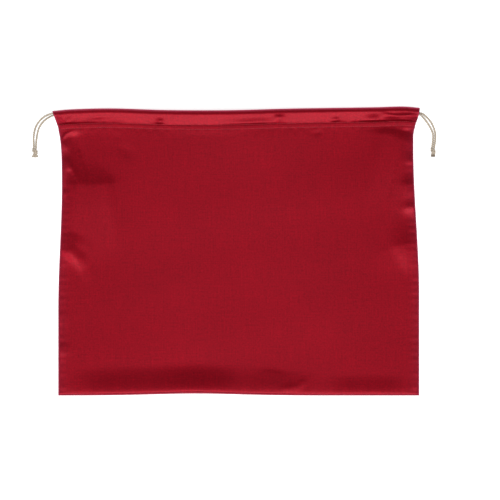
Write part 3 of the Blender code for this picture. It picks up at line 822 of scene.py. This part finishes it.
def ropeMesh(lines, rope):
    # one or more twisted ropes as closed tubes in one mesh; the per-point values paint shade into the valleys
    # between the plies
    verts, faces, plyShades = [], [], []
    ply, off, sides, phase = rope["ply"], rope["plyOff"], rope["sides"], rope["phase"]
    angles = 2 * math.pi * np.arange(sides) / sides
    for pts, _ in lines:
        ways, normals, sidesOf = framesAlong(pts)
        step = np.linalg.norm(pts[1] - pts[0])
        start = len(verts)
        for k, centre in enumerate(pts):
            # a little unevenness of the yarn
            fat = 1 + 0.025 * math.sin(k * step / 0.0031 + phase) + 0.02 * math.sin(k * step / 0.0113)
            fat *= looseness(centre[0], rope["loose"])
            turn = 2 * math.pi * k * step / rope["twist"] + phase
            radius = ropeSection(angles - turn, ply, off) * fat
            if k in (0, len(pts) - 1):
                radius = radius * 0.75
            across = np.outer(radius * np.cos(angles), normals[k])
            up = np.outer(radius * np.sin(angles), sidesOf[k])
            verts.extend(map(tuple, centre + across + up))
            plyShades.extend((radius / fat / (ply + off)).tolist())
        for k in range(len(pts) - 1):
            a, b = start + k * sides, start + (k + 1) * sides
            for j in range(sides):
                n = (j + 1) % sides
                faces.append((a + j, a + n, b + n, b + j))
        last = start + (len(pts) - 1) * sides
        ends = ((start, True, pts[0], -ways[0]), (last, False, pts[-1], ways[-1]))
        for ringStart, flip, centre, way in ends:
            middle = len(verts)
            verts.append(tuple(centre + way * ply * 0.35))
            plyShades.append(0.8)
            for j in range(sides):
                n = (j + 1) % sides
                tri = (ringStart + j, ringStart + n, middle)
                faces.append(tri[::-1] if flip else tri)
    return verts, faces, plyShades


def ropeObject(name, material, parts):
    verts, faces, plyShades = parts
    rope = closedMesh(name, verts, faces, material)
    rope.data.attributes.new("plyShade", "FLOAT", "POINT").data.foreach_set("value", plyShades)
    return rope


# cotton colour, and the painted shade colour for the valleys between the plies
cottonLook = {"colour": (0.72, 0.62, 0.49), "plyShade": (0.225, 0.17, 0.125), "roughness": 0.88}


def cottonMaterial():
    m, tree = newMaterial("cotton cord")
    # painted shade: the valleys between the plies take the dark colour
    depth = addNode(tree, "Attribute", attribute_name="plyShade")
    mixed = addNode(tree, "Mix", {
        "Factor": ranged(tree, depth.outputs["Fac"], (0.62, 0.98)),
        "A": (*cottonLook["plyShade"], 1), "B": (*cottonLook["colour"], 1),
    }, data_type="RGBA")
    # loose fibres, as a little unevenness of colour and surface
    place = addNode(tree, "TexCoord").outputs["Object"]
    fleck = addNode(tree, "TexNoise", {"Vector": place, "Scale": 900.0, "Detail": 3.0}).outputs["Fac"]
    shaded = addNode(tree, "Mix", {
        "Factor": 1.0, "A": mixed.outputs["Result"], "B": ranged(tree, fleck, (0.3, 0.7), (0.86, 1.06)),
    }, data_type="RGBA", blend_type="MULTIPLY")
    bump = addNode(tree, "Bump", {"Height": fleck, "Strength": 0.5, "Distance": 0.0001})
    feed(tree, tree.nodes["Principled BSDF"], {
        "Base Color": shaded.outputs["Result"], "Normal": bump.outputs["Normal"],
        "Roughness": cottonLook["roughness"], "Sheen Weight": 0.25, "Sheen Roughness": 0.5,
    })
    return m


cotton = cottonMaterial()

cordLines = {}
for side, route in (("left", leftRoute()), ("right", rightRoute())):
    step = cordSettings["step"]
    line = evenly(smoothLine(route, 0.0008), step)
    cordLines[side] = line
    rope = ropeObject(side + "Cord", cotton, ropeMesh([line], cordSettings))
    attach(rope, "root")
    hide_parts(side + "_drawcord")
    print(side, "cord:", round(line[1], 4), "m,", len(rope.data.polygons), "faces")


# the knots: both strands of each cord tied together, cut ends below

knotSettings = {
    "spread": 0.00143, "level": 0.00315, "step": 0.00055,
    "yarns": 10, "yarnSpread": 0.0022, "yarnTop": 0.0078,
    "rope": {"sides": 18, "twist": 0.0068, "ply": 0.00062, "plyOff": 0.00058, "loose": 0.0, "phase": 0.8},
    "yarn": {"sides": 9, "twist": 0.0030, "ply": 0.00042, "plyOff": 0.00030, "loose": 0.0, "phase": 0.0},
    "left": {"centre": (-0.27357, 0.1393), "ends": 0.0042, "wrap": 0.00262, "fan": 0.0020, "shade": 0.97},
    "right": {"centre": (0.26808, 0.1397), "ends": 0.0038, "wrap": 0.00235, "fan": 0.0004, "shade": 0.72},
}


def knotLines(centre, wrap):
    # the strands run straight through; two more turns lie round them at a slant
    cx, cy = centre
    spread, level = knotSettings["spread"], knotSettings["level"]
    lines = []
    for way in (-1, 1):
        lines.append([(cx + way * spread, cy + 0.0006, 0.00235), (cx + way * 0.00115, cy - 0.0014, 0.0029),
                      (cx + way * 0.00110, cy - 0.0045, level), (cx + way * 0.00135, cy - 0.0078, 0.0026),
                      (cx + way * 0.00160, cy - 0.0090, 0.0021)])
    for shift in (0.0, 0.0026):
        turn = []
        for degrees in range(-160, 220, 20):
            a = math.radians(degrees)
            slant = 0.0011 * math.sin(a) + 0.0020 * (degrees + 160) / 360
            turn.append((cx + (wrap + 0.00035) * math.sin(a), cy - 0.0013 - shift - slant,
                         level + 0.00175 * math.cos(a)))
        lines.append(turn)
    return lines


def cutEnds(centre, ends, fan):
    # below the knot each end opens into loose yarns of uneven length
    cx, cy = centre
    wide, top = knotSettings["yarnSpread"], cy - knotSettings["yarnTop"]
    half = (knotSettings["yarns"] - 1) / 2
    lines = []
    for k in range(knotSettings["yarns"]):
        place = (k - half) / half
        low = 0.0010 + 0.0009 * (k % 3)
        shorter = 0.10 * (k * 7 % 5) / 4
        lines.append([(cx + wide * place, top, 0.0026),
                      (cx + (wide + fan * 0.45) * place, cy - 0.0095, low + 0.0004),
                      (cx + (wide + fan) * place, top - ends * (1 - shorter), low)])
    return lines


def knotRopes(lines, rope):
    return ropeMesh([evenly(smoothLine(line, 0.0006), knotSettings["step"]) for line in lines], rope)


def together(one, other, shade):
    # two meshes as one, the second a little darker, taking more of the painted ply shade
    verts, faces, plyShades = one
    moved = [tuple(i + len(verts) for i in face) for face in other[1]]
    return verts + other[0], faces + moved, plyShades + [g * shade for g in other[2]]


for side in ("left", "right"):
    s = knotSettings[side]
    tied = knotRopes(knotLines(s["centre"], s["wrap"]), knotSettings["rope"])
    yarns = knotRopes(cutEnds(s["centre"], s["ends"], s["fan"]), knotSettings["yarn"])
    knot = ropeObject(side + "Knot", cotton, together(tied, yarns, s["shade"]))
    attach(knot, "root")
    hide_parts(side + "_knot")
    line = cordLines[side][0]
print("knots tied")


# sewing thread

threadSettings = {
    "long": 0.0021, "every": 0.0028, "wide": 0.00034, "high": 0.00013, "dip": 0.00008, "flatness": 0.62,
    "fromSide": 0.0012, "lift": 0.00006, "sides": 5, "rings": 5, "colour": (0.200, 0.010, 0.020),
}


def threadMaterial():
    m, tree = newMaterial("thread")
    place = addNode(tree, "TexCoord").outputs["Object"]
    noise = addNode(tree, "TexNoise", {"Vector": place, "Scale": 1400.0})
    dark, light = [(*[c * share for c in threadSettings["colour"]], 1) for share in (0.75, 1.3)]
    mixed = addNode(tree, "Mix", {"Factor": noise.outputs["Fac"], "A": dark, "B": light}, data_type="RGBA")
    feed(tree, tree.nodes["Principled BSDF"], {
        "Base Color": mixed.outputs["Result"], "Roughness": 0.5, "Sheen Weight": 0.2,
    })
    return m


thread = threadMaterial()


def stitchShape():
    # one stitch, a low arch that dips into the cloth at both ends: place along it, height and half width
    shape = []
    for k in range(threadSettings["rings"]):
        t = k / (threadSettings["rings"] - 1) * 2 - 1
        high = threadSettings["high"] * (1 - t ** 2) - threadSettings["dip"] * t ** 2
        thick = threadSettings["wide"] / 2 * (1 - 0.45 * t ** 4)
        shape.append((t * threadSettings["long"] / 2, high, thick))
    return shape


def stitchRow(name, spots):
    # one stitch for each spot on the cloth and the way of the row there
    verts, faces = [], []
    shape, sides = stitchShape(), threadSettings["sides"]
    up = Vector((0, 0, 1))
    for spot, way in spots:
        way = way.normalized()
        side = way.cross(up).normalized()
        start = len(verts)
        for along, high, thick in shape:
            for k in range(sides):
                a = 2 * math.pi * k / sides
                rise = high + thick * threadSettings["flatness"] * math.sin(a)
                verts.append(spot + way * along + side * (thick * math.cos(a)) + up * rise)
        for r in range(len(shape) - 1):
            for k in range(sides):
                n = (k + 1) % sides
                a, b = start + r * sides, start + (r + 1) * sides
                faces.append((a + k, a + n, b + n, b + k))
        faces.append(tuple(start + k for k in range(sides - 1, -1, -1)))
        faces.append(tuple(start + (len(shape) - 1) * sides + k for k in range(sides)))
    row = closedMesh(name, [tuple(v) for v in verts], faces, thread)
    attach(row, "root")
    return row


def onFront(x, down):
    # a point of the thread's line on the front, that far below the top fold
    fromSide = np.array([float(sideDistance(x, down))])
    layer = frontHem("stitched", down, 0.0, np.array([x]), fromSide)
    return Vector((x, float(topEdge(x)) - down, float(layer[0]) + bag["satin"] / 2 + threadSettings["lift"]))


def surfaceRow(down):
    left = float(leftEdge(down)) + threadSettings["fromSide"]
    right = float(rightEdge(down)) - threadSettings["fromSide"]
    count = int((right - left) / threadSettings["every"])
    spots = []
    for k in range(count + 1):
        x = mix(left, right, (k + 0.5) / (count + 1))
        spots.append((onFront(x, down), onFront(x + 0.001, down) - onFront(x, down)))
    return spots


for rowName, down in (("frontUpperStitches", bag["tunnel"]), ("frontLowerStitches", bag["hem"])):
    stitchRow(rowName, surfaceRow(down))


# table, light and colour

roomSettings = {
    "table": 16.0, "tableColour": (0.86, 0.86, 0.855), "lift": 0.68, "sky": 0.20,
    "key": {"place": (0.0, -10.2, 22.4), "size": (16.0, 12.0), "power": 5200},
    "fill": {"place": (-2.0, 14.8, 9.2), "size": (12.0, 8.8), "power": 800},
}


def tableMaterial():
    m, tree = newMaterial("table")
    # only what looks at the table sees this lift to white; the bag's soft shadow stays
    rays = addNode(tree, "LightPath").outputs
    seen = rays["Is Camera Ray"]
    for way in ("Is Glossy Ray", "Is Transmission Ray"):
        seen = addNode(tree, "Math", {0: seen, 1: rays[way]}, operation="MAXIMUM").outputs["Value"]
    lift = addNode(tree, "Math", {0: seen, 1: roomSettings["lift"]}, operation="MULTIPLY")
    feed(tree, tree.nodes["Principled BSDF"], {
        "Base Color": (*roomSettings["tableColour"], 1), "Roughness": 0.9, "Specular IOR Level": 0.1,
        "Emission Color": (1, 1, 1, 1), "Emission Strength": lift.outputs["Value"],
    })
    return m


deselectAll()
bpy.ops.mesh.primitive_plane_add(size=roomSettings["table"], location=(0, 0, 0))
table = bpy.context.object
table.name = "table"
table.data.materials.append(tableMaterial())


def areaLight(name, place, size, power):
    lamp = bpy.data.lights.new(name, "AREA")
    lamp.shape = "RECTANGLE"
    lamp.size, lamp.size_y = size
    lamp.energy = power
    o = bpy.data.objects.new(name, lamp)
    bpy.context.scene.collection.objects.link(o)
    o.location = place
    toBag = Vector((0, 0, 0)) - Vector(place)
    o.rotation_euler = toBag.to_track_quat("-Z", "Y").to_euler()


for name in ("key", "fill"):
    areaLight(name, **roomSettings[name])

world = bpy.data.worlds.new("studio")
bpy.context.scene.world = world
world.use_nodes = True
sky = world.node_tree.nodes["Background"]
sky.inputs["Color"].default_value = (1, 1, 1, 1)
sky.inputs["Strength"].default_value = roomSettings["sky"]
bpy.context.scene.view_settings.view_transform = "Standard"
print("table and lights ready")
